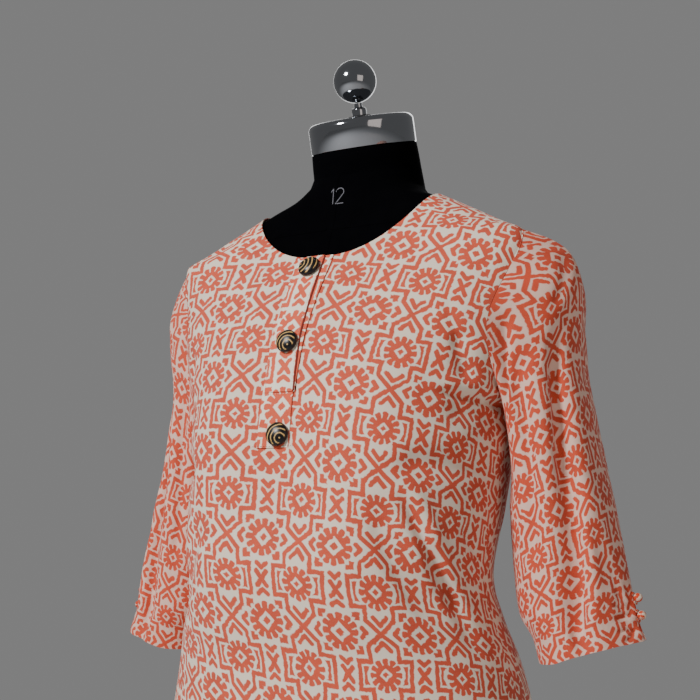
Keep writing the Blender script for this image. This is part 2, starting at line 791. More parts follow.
def body_lengths():
    """Lengths across and up, in metres, on a table of angles and heights."""
    height, angle = np.meshgrid(TABLE_HEIGHTS, TABLE_ANGLES, indexing="ij")
    points = kurta_surface(angle, height)
    across = lengths_along(points, 1)
    across = across - across[:, len(TABLE_ANGLES) // 2][:, None]
    up = lengths_along(points)
    start_row = int(np.argmin(np.abs(TABLE_HEIGHTS - LENGTHS_START_Z)))
    return across, up - up[start_row]


ACROSS, UP = body_lengths()


def read_table(table, angle, height):
    """The table's value between its points, mixed from the four nearest."""
    i = (height - TABLE_HEIGHTS[0]) / (TABLE_HEIGHTS[1] - TABLE_HEIGHTS[0])
    j = (wrap(angle) - TABLE_ANGLES[0]) / (TABLE_ANGLES[1] - TABLE_ANGLES[0])
    i = np.clip(i, 0, len(TABLE_HEIGHTS) - 1.001)
    j = np.clip(j, 0, len(TABLE_ANGLES) - 1.001)
    i0, j0 = i.astype(int), j.astype(int)
    s, t = i - i0, j - j0
    low = table[i0, j0] * (1 - t) + table[i0, j0 + 1] * t
    high = table[i0 + 1, j0] * (1 - t) + table[i0 + 1, j0 + 1] * t
    return low * (1 - s) + high * s


def body_flat(angle, height, back):
    """Flat coordinates of points of the front or the back, from its own middle."""
    across = read_table(ACROSS, angle, height)
    if back:
        ends = read_table(ACROSS, np.full_like(angle, math.pi - 1e-6), height)
        starts = read_table(ACROSS, np.full_like(angle, -math.pi + 1e-6), height)
        across = np.where(across > 0, ends - across, starts - across)
    return np.stack([across, read_table(UP, angle, height)], axis=-1)


print("half round the hem in metres:", round(float(ACROSS[0, -1]), 3))

# %% [markdown]
# ## Small creases
#
# The broad folds are in the solids. Narrower creases are placed by hand on the flat
# cloth: each is a rounded trough between two points, or a ridge where its depth is below
# zero.

# %% Creases placed by hand
# Each row: across and up of the start and of the end, half width and depth, in metres.
FRONT_CREASES = (
    (0.160, 0.019, 0.252, 0.008, 0.0042, 0.0068),
    (0.170, 0.006, 0.246, -0.004, 0.0120, 0.0058),
    (0.168, 0.032, 0.240, 0.022, 0.007, -0.0026),
    (0.207, 0.078, 0.219, 0.030, 0.0045, 0.0085),
    (0.130, -0.088, 0.192, -0.195, 0.0065, 0.0075),
    (0.142, -0.082, 0.200, -0.182, 0.006, -0.0018),
    (0.190, -0.108, 0.226, -0.142, 0.005, 0.0032),
    (0.105, -0.115, 0.150, -0.200, 0.006, 0.0018),
    (0.060, -0.150, 0.120, -0.235, 0.009, 0.0012),
    (0.100, 0.060, 0.155, 0.030, 0.007, 0.0012),
    (0.150, 0.110, 0.172, 0.060, 0.005, 0.0014),
    (-0.110, -0.100, -0.170, -0.185, 0.006, 0.0015),
    (-0.120, -0.045, -0.180, -0.056, 0.005, 0.0014),
    (-0.150, 0.110, -0.170, 0.060, 0.005, 0.0012),
    (-0.040, -0.240, -0.120, -0.330, 0.010, 0.0012),
    (0.020, -0.260, 0.100, -0.345, 0.010, 0.0012),
    (-0.060, -0.300, 0.020, -0.420, 0.014, 0.0012),
    (0.070, -0.400, 0.090, -0.600, 0.014, 0.0014),
    (-0.090, -0.420, -0.100, -0.620, 0.014, 0.0014),
)
BACK_CREASES = (
    (0.060, -0.120, 0.140, -0.220, 0.010, 0.0014),
    (-0.060, -0.130, -0.140, -0.215, 0.010, 0.0014),
    (0.120, 0.080, 0.165, 0.020, 0.007, 0.0012),
    (-0.120, 0.080, -0.165, 0.020, 0.007, 0.0012),
    (0.020, -0.180, 0.090, -0.260, 0.012, 0.0012),
    (-0.030, -0.160, -0.100, -0.270, 0.012, 0.0012),
    (0.070, -0.420, 0.085, -0.620, 0.014, 0.0014),
    (-0.080, -0.400, -0.100, -0.600, 0.014, 0.0014),
)


def small_creases(flat, table):
    """Depth of all creases of a table, and the slow unevenness of worn cotton: a few
    waves that cross each other at slants."""
    depth = np.zeros(flat.shape[:-1])
    for across_1, up_1, across_2, up_2, half_width, deep in table:
        depth = depth + crease(
            flat[..., 0], flat[..., 1], (across_1, up_1), (across_2, up_2), half_width, deep
        )
    u, v = flat[..., 0], flat[..., 1]
    slow = np.sin(61 * u + 33 * v + 0.7) * np.sin(27 * u - 58 * v + 1.9)
    quick = np.sin(118 * u - 74 * v) * np.sin(93 * u + 121 * v + 2.2)
    return depth + 0.00022 * slow + 0.00010 * quick


print("creases on the front:", len(FRONT_CREASES), "and on the back:", len(BACK_CREASES))

# %% [markdown]
# ## Drift of the grain
#
# The rows of the print aren't level on the worn kurta: they droop towards the wearer's
# left over the bust, and its columns lean out above it. A sleeve's rows droop away from
# its outer line. The drift is a smooth sum of a few powers of the lengths.

# %% Drift of the print on the body and the sleeves
def front_grain(flat):
    """The front's lengths with its drift: cubic across and square upwards."""
    a = np.clip(flat[..., 0], -0.24, 0.24) * 10
    b = np.clip(flat[..., 1], -0.30, 0.24) * 10
    drift_u = -5.2 - 7.1 * a - 2.2 * b + 3.6 * a * a - 4.3 * a * b - 3.0 * b * b + 0.1 * a**3
    drift_v = 0.5 + 11.8 * a - 0.8 * b + 4.1 * a * a + 0.6 * a * b - 0.8 * b * b
    drift_v = drift_v + 0.2 * a**3 + 1.7 * a * a * b
    return flat + np.stack([drift_u, drift_v], axis=-1) / 1000


def back_grain(flat):
    """The back's rows droop a little from its middle to both sides."""
    droop = np.sqrt(flat[..., 0] ** 2 + 0.03**2) - 0.03
    return np.stack([flat[..., 0], flat[..., 1] + 0.12 * droop], axis=-1)


def sleeve_grain(flat):
    """A sleeve's lengths with its drift: its columns are a fifth closer than the block's,
    and its rows droop from the outer line, more so near the shoulder."""
    u, v = flat[..., 0], flat[..., 1]
    droop = np.sqrt(u**2 + 0.02**2) - 0.02
    across = 0.0758 + 1.198 * u - 0.040 * v + 0.876 * u * np.abs(u) + 0.766 * u * v
    up = -0.097 + 0.2875 * droop + 1.158 * v + 0.227 * u * u + 1.42 * droop * v - 0.244 * v * v
    return np.stack([across, up], axis=-1)


corner = front_grain(np.array([0.2, 0.2])) - 0.2
print("drift at the left shoulder in millimetres:", (corner * 1000).round(1).tolist())

# %% [markdown]
# ## The front and the back
#
# Each panel is one sheet from shoulder to hem. The front is cut open down its middle
# under the placket's bands. The panels meet at the shoulder seams and the side seams.

# %% Front and back panels
BAND_END_Z = 1.1730
BOX_END_Z = 1.1185
FRONT_SLOT_HALF = 0.0035
PANEL_COLUMNS = 172
PANEL_ROWS = (70, 70, 56, 34)
WAIST_Z = 0.955


def fine_rows():
    """Row positions: skirt, bodice, armhole and shoulder."""
    waist = UNDERARM_SHARE * (WAIST_Z - HEM_Z) / (UNDERARM_Z - HEM_Z)
    ends = (0.0, waist, UNDERARM_SHARE, TIP_SHARE, 1.0)
    runs = [
        np.linspace(a, b, n, endpoint=b == 1.0)
        for a, b, n in zip(ends[:-1], ends[1:], PANEL_ROWS)
    ]
    return np.concatenate(runs)


def body_panel(name, columns, back, creases, grain, material, slot=None):
    """A panel as a thin wall: its grid on the body, moved in along its creases."""
    rows = fine_rows()
    angle, height = panel_grid(columns, rows, back)
    points = kurta_surface(angle, height)
    flat = body_flat(angle, height, back)
    normal = grid_normals(points)
    edge = np.minimum(rows / 0.02, 1)[:, None] * np.minimum((1 - rows) / 0.02, 1)[:, None]
    side = np.minimum((1 - np.abs(columns)) / 0.04, 1)[None, :]
    depth = small_creases(flat, creases) * edge * side
    outer = points - normal * depth[..., None]
    inner = outer - grid_normals(outer) * CLOTH_WALL
    cut = None
    if slot is not None:
        cut = np.zeros((len(rows) - 1, len(columns) - 1), bool)
        cut[height[:-1, slot] > BAND_END_Z + 0.002, slot] = True
    piece = wall_piece(name, wall_of(outer, inner, grain(flat), cut), material)
    print(name, "faces:", len(piece.data.polygons), "cut in metres:",
          np.ptp(flat.reshape(-1, 2), axis=0).round(3).tolist())
    return piece, outer, flat


slot_share = FRONT_SLOT_HALF / (NECK_POINT_X * math.pi / 2)
half_columns = np.linspace(0, 1, PANEL_COLUMNS // 2 + 1)
half_columns = np.concatenate([[slot_share], half_columns[half_columns > slot_share]])
front_columns = np.concatenate([-half_columns[::-1], half_columns])
slot_column = len(half_columns) - 1
kurta_front, front_outer, front_flat = body_panel(
    "kurta_front", front_columns, False, FRONT_CREASES, front_grain, front_cotton, slot_column
)
back_columns = -np.linspace(-1, 1, PANEL_COLUMNS + 1)
kurta_back, back_outer, back_flat = body_panel(
    "kurta_back", back_columns, True, BACK_CREASES, back_grain, back_cotton
)

# %% [markdown]
# ## The sleeves
#
# A sleeve is one piece, seamed under the arm and set into the armhole. It hangs from the
# shoulder, is pressed flat where it meets the body, and opens in a short slit at the
# cuff. Both sleeves are the same pattern, mirrored.

# %% Sizes of the sleeve
# Each row: height, x and y of the centre, half width, half depth, and how far the outer
# line is drawn out.
SLEEVE_SECTIONS = (
    (0.910, 0.2500, 0.018, 0.0490, 0.049, 0.0100),
    (0.935, 0.2440, 0.018, 0.0490, 0.050, 0.0110),
    (0.960, 0.2320, 0.019, 0.0520, 0.051, 0.0110),
    (1.000, 0.2270, 0.023, 0.0530, 0.054, 0.0050),
    (1.060, 0.2195, 0.029, 0.0500, 0.058, 0.0010),
    (1.100, 0.2160, 0.032, 0.0440, 0.060, 0.0),
    (1.150, 0.2110, 0.030, 0.0400, 0.059, 0.0),
    (1.200, 0.2050, 0.028, 0.0385, 0.059, 0.0),
    (1.240, 0.2050, 0.023, 0.0390, 0.058, 0.0),
    (1.275, 0.2070, 0.019, 0.0410, 0.058, 0.0),
    (1.340, 0.2050, 0.014, 0.0400, 0.054, 0.0),
)
SLEEVE_COLUMN_SPREAD = 0.40   # spreads the columns of the sleeve's inner side
SLEEVE_BODY_GAP = 0.0035    # air between the sleeve's inner side and the body's side
CUFF_Z = 0.926
CUFF_RISE_OUT = 0.011       # the cuff's edge is higher on its outer side
CUFF_DROP_FRONT = 0.005
CUFF_SLIT = 0.050
CUFF_SLIT_HALF_GAP = 0.0030
SLEEVE_FOLDS = (
    (45, 0.22, 72, 1.02, 0.012, 0.0080),
    (20, 0.25, 40, 1.00, 0.014, -0.0020),
    (100, 0.16, 112, 0.70, 0.013, 0.0045),
    (-50, 0.25, -66, 0.95, 0.013, 0.0060),
    (-104, 0.16, -112, 0.75, 0.013, 0.0045),
    (86, 0.03, 128, 0.16, 0.010, 0.0045),
    (-86, 0.03, -128, 0.16, 0.010, 0.0045),
    (8, 0.045, 40, 0.11, 0.008, 0.0025),
    (-10, 0.050, -38, 0.12, 0.008, 0.0025),
)
SLEEVE_RADIUS = 0.052       # mean radius, by which angles round a sleeve become metres
SLEEVE_LENGTH = 0.395       # armhole's top to the cuff
print("sections of a sleeve:", len(SLEEVE_SECTIONS), "folds:", len(SLEEVE_FOLDS))

# %% [markdown]
# ## The sleeve's surface
#
# The sleeve starts on the armhole's edge and ends in the cuff. Near the armhole its
# points follow the edge, and lower down they settle into the sleeve's own sections.

# %% Surface of the sleeve
def armhole_edge(turn):
    """Angle and height on the body of the armhole at angles round it: 0 is the shoulder
    tip, a quarter turn is the front and half a turn the underarm."""
    wrapped = wrap(turn)
    share = np.abs(wrapped) / math.pi
    t = TIP_SHARE - share * (TIP_SHARE - UNDERARM_SHARE)
    front_angle, height = side_edge(t, False)
    back_angle, _ = side_edge(t, True)
    return np.where(wrapped >= 0, front_angle, math.pi - back_angle), height


def armhole_ring(turn):
    """Points of the sleeve's upper edge: the armhole, moved out of the body's edge by
    the seam's gap, both into the hole and off the body."""
    angle, height = armhole_edge(turn)
    after = kurta_surface(*armhole_edge(turn + 0.05))
    before = kurta_surface(*armhole_edge(turn - 0.05))
    normal = kurta_normals(angle, height)
    away = unit(np.cross(normal, after - before))
    return kurta_surface(angle, height) + (away + normal) * SEAM_GAP


def cuff_height(turn):
    """Height of the cuff's edge at angles round the sleeve."""
    return CUFF_Z + CUFF_RISE_OUT * np.cos(turn) - CUFF_DROP_FRONT * np.sin(turn)


def sleeve_section(turn, height):
    """Points of a sleeve's section at angles from its outer side, front positive."""
    centre_x, centre_y, half_width, half_depth, drawn_out = table_values(SLEEVE_SECTIONS, height)
    low = ((1 - np.cos(turn)) / 2) ** 2
    turn = turn + SLEEVE_COLUMN_SPREAD * low * np.sin(2 * turn)
    wrapped = wrap(turn)
    x = centre_x + half_width * np.cos(turn) + drawn_out * np.exp(-((wrapped / 0.40) ** 2))
    y = centre_y - half_depth * np.sin(turn)
    return np.stack([x, y, height], axis=-1)


def beside_body(points, share):
    """Points of a sleeve kept outside the body: x is at least the body's own x there
    and a gap that opens below the armhole, with a soft corner."""
    _, front, back, side, square = table_values(KURTA_SECTIONS, points[..., 2])
    in_front = points[..., 1] < side
    end = np.where(in_front, front, back)
    depth = np.clip(np.abs((points[..., 1] - side) / (end - side)), 0, 1)
    angle = np.arccos(depth ** (square / 2))
    angle = np.where(in_front, angle, math.pi - angle)
    gap = SEAM_GAP + (SLEEVE_BODY_GAP - SEAM_GAP) * smoothstep(share / 0.12)
    least = kurta_surface(angle, points[..., 2])[..., 0] + gap
    x = points[..., 0]
    kept = (x + least + np.sqrt((x - least) ** 2 + (gap / 2) ** 2)) / 2
    kept = x + (kept - x) * smoothstep(share / 0.006)
    return np.stack([kept, points[..., 1], points[..., 2]], axis=-1)


def sleeve_plain(turn, share):
    """A sleeve without creases: turn is the angle round it from its outer side, front
    positive, and share runs down from the armhole to the cuff."""
    start = armhole_ring(turn)
    height = start[..., 2] + (cuff_height(turn) - start[..., 2]) * share
    top = (1 + np.cos(turn)) / 2
    fade = ((1 - share).clip(0, 1) ** (4 + 29 * top**2))[..., None]
    section = sleeve_section(turn, height)
    first = sleeve_section(turn, start[..., 2])
    return section + (start - first) * fade


def sleeve_surface(turn, share):
    """Outer surface of the wearer's left sleeve, with its creases."""
    points = sleeve_plain(turn, share)
    across, along = wrap(turn) * SLEEVE_RADIUS, share * SLEEVE_LENGTH
    depth = np.zeros_like(points[..., 0])
    for a1, s1, a2, s2, half_width, fold in SLEEVE_FOLDS:
        start = (math.radians(a1) * SLEEVE_RADIUS, s1 * SLEEVE_LENGTH)
        end = (math.radians(a2) * SLEEVE_RADIUS, s2 * SLEEVE_LENGTH)
        depth = depth + crease(across, along, start, end, half_width, fold)
    depth = depth * smoothstep(share / 0.05)
    inward = np.stack([-np.cos(turn), np.sin(turn), np.zeros_like(turn)], axis=-1)
    return beside_body(points + inward * depth[..., None], share)


around = np.linspace(0, 2 * math.pi, 61)
cuff_edge = sleeve_surface(around, np.ones_like(around))
cuff_round = np.linalg.norm(np.diff(cuff_edge, axis=0), axis=1).sum()
print("round the cuff in metres:", cuff_round.round(3))

# %% [markdown]
# ## Creases and gathers of the sleeves
#
# Long folds run down the front and the back of a sleeve, and short gathers spread from
# the two cuff buttons. They are placed on the flat sleeve, measured round from its outer
# line and up from the cuff.

# %% Sleeves with their creases and gathers
SLEEVE_CREASES = (
    (0.035, 0.300, 0.049, 0.165, 0.0060, 0.0050),
    (0.049, 0.172, 0.064, 0.010, 0.0060, 0.0074),
    (0.036, 0.170, 0.050, 0.012, 0.0070, -0.0016),
    (-0.040, 0.290, -0.052, 0.160, 0.0065, 0.0044),
    (-0.052, 0.168, -0.064, 0.012, 0.0065, 0.0056),
    (0.030, 0.060, 0.046, 0.175, 0.006, 0.0016),
    (0.012, 0.020, 0.030, 0.110, 0.005, 0.0012),
    (0.060, 0.150, 0.040, 0.240, 0.007, 0.0014),
    (0.020, 0.330, 0.045, 0.290, 0.006, 0.0014),
    (-0.020, 0.330, -0.042, 0.295, 0.006, 0.0012),
    (0.055, 0.300, 0.080, 0.240, 0.007, 0.0016),
    (-0.030, 0.050, -0.050, 0.180, 0.007, 0.0014),
    (-0.055, 0.150, -0.040, 0.250, 0.007, 0.0014),
    (-0.055, 0.300, -0.080, 0.240, 0.007, 0.0014),
)
CUFF_GATHERS = (
    (0.0, 0.022, 0.022, 0.010, 0.0022, 0.0019),
    (0.0, 0.022, 0.026, 0.020, 0.0022, 0.0020),
    (0.0, 0.024, 0.024, 0.032, 0.0022, 0.0018),
    (0.0, 0.036, 0.026, 0.034, 0.0022, 0.0020),
    (0.0, 0.038, 0.026, 0.046, 0.0022, 0.0020),
    (0.0, 0.040, 0.020, 0.058, 0.0024, 0.0018),
    (0.0, 0.042, 0.008, 0.066, 0.0024, 0.0016),
)
SLEEVE_FINE_COLUMNS = 160
MIRROR = np.array([-1, 1, 1])


def sleeve_sheet():
    """Grid of the wearer's left sleeve from cuff to armhole, with its flat coordinates:
    length round from the outer line, and length up from the cuff."""
    turns = np.linspace(0, 2 * math.pi, SLEEVE_FINE_COLUMNS + 1)
    slit_share = 1 - CUFF_SLIT / SLEEVE_LENGTH
    slit_rows = np.linspace(1, slit_share, 34)
    middle_rows = np.linspace(slit_share, 0.20, 110)[1:]
    head_rows = 0.20 * np.linspace(1, 0, 60)[1:] ** 1.4
    shares = np.concatenate([slit_rows, middle_rows, head_rows])
    share = np.broadcast_to(shares[:, None], (len(shares), len(turns))).copy()
    turn = np.broadcast_to(turns[None, :], share.shape).copy()
    opening = ((shares - slit_share) / (1 - slit_share)).clip(0, 1)
    spread = opening * CUFF_SLIT_HALF_GAP / SLEEVE_RADIUS
    near = np.exp(-((turns / 0.25) ** 2))[None, :]
    far = np.exp(-(((2 * math.pi - turns) / 0.25) ** 2))[None, :]
    turn = turn + spread[:, None] * (near - far)
    points = sleeve_surface(turn, share)
    up = lengths_along(points) + cuff_height(turn[0])[None, :] - CUFF_Z
    steps = np.linalg.norm(np.diff(points, axis=1), axis=-1)
    level = np.sqrt(np.maximum(steps**2 - np.diff(up, axis=1) ** 2, 1e-12))
    around = np.insert(np.cumsum(level, axis=1), 0, 0.0, axis=1)
    head = int(np.argmin(np.abs(shares - 0.30)))
    around[head:] = around[head]
    flat = np.stack([around, up], axis=-1)
    total = around[:, -1:]
    other = np.stack([around - total, up], axis=-1)
    return points, flat, other, opening


def make_sleeve(side, material):
    """The sleeve as a thin wall. The right one is the left one mirrored."""
    points, flat, other, opening = sleeve_sheet()
    middle = points.shape[1] // 2
    signed = flat.copy()
    signed[:, middle:] = other[:, middle:]
    normal = -grid_normals(points)
    depth = small_creases(signed, SLEEVE_CREASES)
    for row in CUFF_GATHERS:
        for sign in (1, -1):
            start, end = (sign * (row[0] + 0.004), row[1]), (sign * row[2], row[3])
            depth = depth + crease(signed[..., 0], signed[..., 1], start, end, row[4], row[5])
    head = smoothstep(np.arange(len(points))[::-1] / 6)[:, None]
    outer = points - normal * (depth * head)[..., None]
    inner = outer + grid_normals(outer) * CLOTH_WALL
    if side == "left":
        flip = slice(None, None, -1)
        outer, inner = outer[:, flip], inner[:, flip]
        first, second = other[:, flip], flat[:, flip]
    else:
        outer, inner = outer * MIRROR, inner * MIRROR
        first, second = flat, other
    wall = wall_of(
        outer, inner, sleeve_grain(first), None, opening <= 0, middle, sleeve_grain(second)
    )
    piece = wall_piece(f"kurta_sleeve_{side}", wall, material)
    print(piece.name, "faces:", len(piece.data.polygons))
    return piece


kurta_sleeves = {side: make_sleeve(side, sleeve_cotton) for side in ("left", "right")}

# %% [markdown]
# ## The placket
#
# The neck opens down the front through a placket: an under band on the wearer's left, a
# top band over it from the wearer's right, and a box that is stitched down at their end.
# The bands lie on the front, so their points are the front's own, moved out.

# %% Bands of the placket
BAND_RIGHT_X = -0.0290
BAND_LEFT_X = 0.0040
UNDER_RIGHT_X = -0.0100
UNDER_LEFT_TOP_X = 0.0140
UNDER_LEFT_END_X = 0.0030
BAND_WALL = 0.0009


def on_front(x, height, lift):
    """Points and normals of the front at x positions and heights, moved out by lift."""
    angle = x_to_angle(x, height)
    normal = kurta_normals(angle, height)
    return kurta_surface(angle, height) + normal * np.asarray(lift)[..., None], normal


def band(name, x, heights, lift, material):
    """A strip on the front. Its flat coordinates are its place across and its height."""
    height = np.broadcast_to(heights[:, None], (len(heights), x.shape[-1]))
    x = np.broadcast_to(x, height.shape)
    lift = np.broadcast_to(lift, height.shape)
    outer, normal = on_front(x, height, lift)
    inner = outer - normal * BAND_WALL
    flat = np.stack([x, height], axis=-1)
    return wall_piece(name, wall_of(outer, inner, flat), material)


ON_PANEL = 0.0010 + 2 * SEAM_GAP
ON_BAND = ON_PANEL + 0.0010 + SEAM_GAP
PLACKET_TOP_Z = NECK_POINT_Z - NECK_DROP_FRONT - SEAM_GAP
heights = np.linspace(BAND_END_Z + SEAM_GAP, PLACKET_TOP_Z, 90)
left = np.interp(heights, (BAND_END_Z, PLACKET_TOP_Z), (UNDER_LEFT_END_X, UNDER_LEFT_TOP_X))
left = left + 0.0026 * (PLACKET_TOP_Z - heights) / (PLACKET_TOP_Z - BAND_END_Z)
under_x = UNDER_RIGHT_X + (left[:, None] - UNDER_RIGHT_X) * np.linspace(0, 1, 16)[None, :]
under_band = band("placket_under_band", under_x, heights, np.array(ON_PANEL), band_cotton)
band_x = np.linspace(BAND_RIGHT_X, BAND_LEFT_X, 34)
step_up = smoothstep((band_x - BAND_RIGHT_X - 0.004) / 0.010)
band_lift = ON_PANEL + (ON_BAND - ON_PANEL) * step_up
top_band = band("placket_top_band", band_x, heights, band_lift, band_cotton)
box_heights = np.linspace(BOX_END_Z, BAND_END_Z, 40)
box_band = band("placket_end_box", band_x, box_heights, np.array(ON_PANEL), band_cotton)
print("bands:", under_band.name, top_band.name, box_band.name)

# %% [markdown]
# ## Stitching
#
# Machine stitches are short lengths of thread that sink at both ends. One small spindle
# is repeated along each seam line, so a row of stitches is a single piece.

# %% Rows of stitches
THREAD_LIFT = 0.0002


def stitch_row(name, path, normal, material, pitch=0.0030, length=0.0022, radius=0.00022):
    """Spindles of six points along a path: two tips on the cloth and four points round
    the middle."""
    along = lengths_along(path)
    count = int(along[-1] / pitch)
    places = (np.arange(count) + 0.5) * pitch
    centre = np.stack([np.interp(places, along, path[:, k]) for k in range(3)], axis=-1)
    ahead = np.stack([np.interp(places + pitch / 4, along, path[:, k]) for k in range(3)], axis=-1)
    out = np.stack([np.interp(places, along, normal[:, k]) for k in range(3)], axis=-1)
    tangent = unit(ahead - centre)
    side = np.cross(out, tangent)
    tips = [centre - tangent * length / 2, centre + tangent * length / 2]
    ring = [centre + out * radius, centre + side * radius,
            centre - out * radius, centre - side * radius]
    points = np.stack(tips + ring, axis=1).reshape(-1, 3)
    base = np.array([(0, 2, 3), (0, 3, 4), (0, 4, 5), (0, 5, 2),
                     (1, 3, 2), (1, 4, 3), (1, 5, 4), (1, 2, 5)])
    faces = (base[None] + 6 * np.arange(count)[:, None, None]).reshape(-1, 3)
    return new_piece(name, points, faces.tolist(), material)


def ridge(name, path, normal, radius, material):
    """A low rounded welt along a path: eight points across, its lower half sunk in."""
    side = np.cross(normal, unit(np.gradient(path, axis=0)))
    turn = np.linspace(0, 2 * math.pi, 8, endpoint=False)[None, :, None]
    rings = (path[:, None] + side[:, None] * np.cos(turn) * radius
             + normal[:, None] * np.sin(turn) * radius * 0.6)
    return skin(name, rings, path[[0, -1]], material)


def front_line(x, heights, lift):
    """A path and its normals on the front."""
    x = np.broadcast_to(np.asarray(x, float), heights.shape)
    return on_front(x, heights, np.broadcast_to(lift, heights.shape))


stitches = []
down = np.linspace(PLACKET_TOP_Z - 0.001, BAND_END_Z + 0.001, 80)
for name, x, lift in (
    ("stitches_band_right", BAND_RIGHT_X + 0.0018, ON_PANEL + THREAD_LIFT),
    ("stitches_band_left", BAND_LEFT_X - 0.0018, ON_BAND + THREAD_LIFT),
):
    path, normal = front_line(x, down, lift)
    stitches.append(stitch_row(name, path, normal, white_thread))
under_edge = np.interp(down, (BAND_END_Z, PLACKET_TOP_Z), (UNDER_LEFT_END_X, UNDER_LEFT_TOP_X))
path, normal = front_line(under_edge - 0.0014, down, ON_PANEL + THREAD_LIFT)
stitches.append(stitch_row("stitches_under_band", path, normal, white_thread))
for name, height, material, reach in (
    ("stitches_box_end", BOX_END_Z + 0.0012, dark_thread, 0.008),
    ("stitches_box_top", BAND_END_Z - 0.0015, white_thread, -0.001),
):
    across = np.linspace(BAND_RIGHT_X - reach, BAND_LEFT_X + reach, 60)
    level, lift = np.full_like(across, height), np.full_like(across, ON_PANEL + THREAD_LIFT)
    path, normal = on_front(across, level, lift)
    stitches.append(stitch_row(name, path, normal, material, radius=0.00028))
path, normal = front_line(BAND_LEFT_X + 0.0007, down, ON_PANEL + 0.0003)
fold_shade = plain("shaded_fold", linear(120, 34, 22), 0.9, 700.0)
fold_edge = ridge("band_fold_edge", path, normal, 0.0009, fold_shade)
print("rows of stitches:", len(stitches))

# %% [markdown]
# ## Hems
#
# The hem is turned up by 20 mm, and one row of stitches holds it.

# %% Hem stitches
HEM_FOLD = 0.020


def panel_row(outer, flat, up_by):
    """The line of a panel's points next above a length up from its hem."""
    up = flat[..., 1] - flat[:1, :, 1]
    row = (up < up_by).sum(axis=0)[::2]
    columns = np.arange(0, up.shape[1], 2)
    normal = grid_normals(outer)[row, columns]
    return outer[row, columns] + normal * 0.00015, normal


for name, outer, flat in (
    ("stitches_hem_front", front_outer, front_flat),
    ("stitches_hem_back", back_outer, back_flat),
):
    path, normal = panel_row(outer, flat, HEM_FOLD)
    stitches.append(stitch_row(name, path, normal, white_thread))
print("rows of stitches:", len(stitches))

# %% [markdown]
# ## Turned pieces
#
# The neck cap, washer, nut, ball, pole and base are all round about an axis. A profile
# of radii and heights is carried round that axis. Sharp edges get two profile points a
# small step apart, which catch the light as a real edge does.

# %% A profile carried round an axis
def seated(point, normal):
    """The matrix that turns +Z to the normal and moves the origin to a point."""
    z = Vector(normal).normalized()
    x = Vector((0, 0, 1)).cross(z)
    if x.length < 0.01:
        x = Vector((1, 0, 0))
    x.normalize()
    y = z.cross(x)
    turn = Matrix((x, y, z)).transposed().to_4x4()
    return np.array(Matrix.Translation(Vector(point)) @ turn)


def placed(points, matrix):
    """Points moved by a matrix."""
    return points @ matrix[:3, :3].T + matrix[:3, 3]


def turned(name, profile, steps, matrix, material, sharp=40):
    """Rings of a profile of (radius, height) pairs from bottom to top, closed at both
    poles with fans."""
    profile = np.array(profile, float)
    around = np.linspace(0, 2 * math.pi, steps, endpoint=False)
    rings = np.stack([
        profile[:, 0, None] * np.cos(around),
        profile[:, 0, None] * np.sin(around),
        np.broadcast_to(profile[:, 1, None], (len(profile), steps)),
    ], axis=-1)
    ends = np.stack([rings[0, 0], rings[-1, 0]])
    return skin(name, placed(rings[1:-1], matrix), placed(ends, matrix), material, sharp)


def rounded(profile, radius=0.0006):
    """A profile whose corners are each cut into two points a small step apart."""
    points = [profile[0]]
    for before, here, after in zip(profile[:-2], profile[1:-1], profile[2:]):
        for other in (before, after):
            dx, dy = other[0] - here[0], other[1] - here[1]
            step = min(radius, math.hypot(dx, dy) * 0.4) / math.hypot(dx, dy)
            points.append((here[0] + dx * step, here[1] + dy * step))
    return points + [profile[-1]]


print("turned pieces follow")

# %% [markdown]
# ## Finial and stand
#
# The chrome cap closes the neck, and a ball on a nut and washer screws into it. Turning
# the ball tightens the cap. The pole stands on a round weighted base. The picture ends at
# the kurta's hip, so the base and pole are a plain stand of the usual kind.

# %% Finial
NECK_TOP_Y = 0.020
NECK_TOP_Z = 1.4546
NECK_RADIUS = 0.0576
NECK_TILT = math.radians(15.8)
CAP_HEIGHT = 0.032
CAP_CHAMFER = 0.007
WASHER_RADIUS = 0.0125
WASHER_THICKNESS = 0.0035
NUT_RADIUS = 0.0080
NUT_HEIGHT = 0.0085
FINIAL_BALL_RADIUS = 0.0233
FINIAL_BALL_HEIGHT = 0.0736          # centre of the ball above the neck's top
axis = np.array([0.0, -math.sin(NECK_TILT), math.cos(NECK_TILT)])
neck_top = np.array([0.0, NECK_TOP_Y, NECK_TOP_Z])


def along_neck(distance):
    """The matrix of a piece on the neck's axis, a distance above the neck's top."""
    return seated(neck_top + axis * distance, axis)


cap_profile = [(0.0, 0.0), (NECK_RADIUS - 0.0006, 0.0)]
cap_profile += [(NECK_RADIUS, 0.0006), (NECK_RADIUS, CAP_HEIGHT - CAP_CHAMFER)]
bend = np.linspace(0, math.pi / 2, 9)[1:]
cap_profile += zip(NECK_RADIUS - CAP_CHAMFER * (1 - np.cos(bend)),
                   CAP_HEIGHT - CAP_CHAMFER * (1 - np.sin(bend)))
cap_profile += [(NECK_RADIUS * 0.6, CAP_HEIGHT), (0.0, CAP_HEIGHT)]
washer_at = CAP_HEIGHT + 2 * SEAM_GAP
nut_at = washer_at + WASHER_THICKNESS + SEAM_GAP
nut_end = FINIAL_BALL_HEIGHT - FINIAL_BALL_RADIUS - nut_at - SEAM_GAP
washer_profile = rounded([(0, 0), (WASHER_RADIUS, 0), (WASHER_RADIUS, WASHER_THICKNESS),
                          (0, WASHER_THICKNESS)])
nut_profile = rounded([
    (0, 0), (NUT_RADIUS, 0), (NUT_RADIUS, NUT_HEIGHT * 0.8), (NUT_RADIUS * 0.8, NUT_HEIGHT),
    (NUT_RADIUS * 0.55, NUT_HEIGHT), (NUT_RADIUS * 0.55, nut_end), (0, nut_end),
], 0.0003)
ball_angles = np.linspace(0, math.pi, 57)
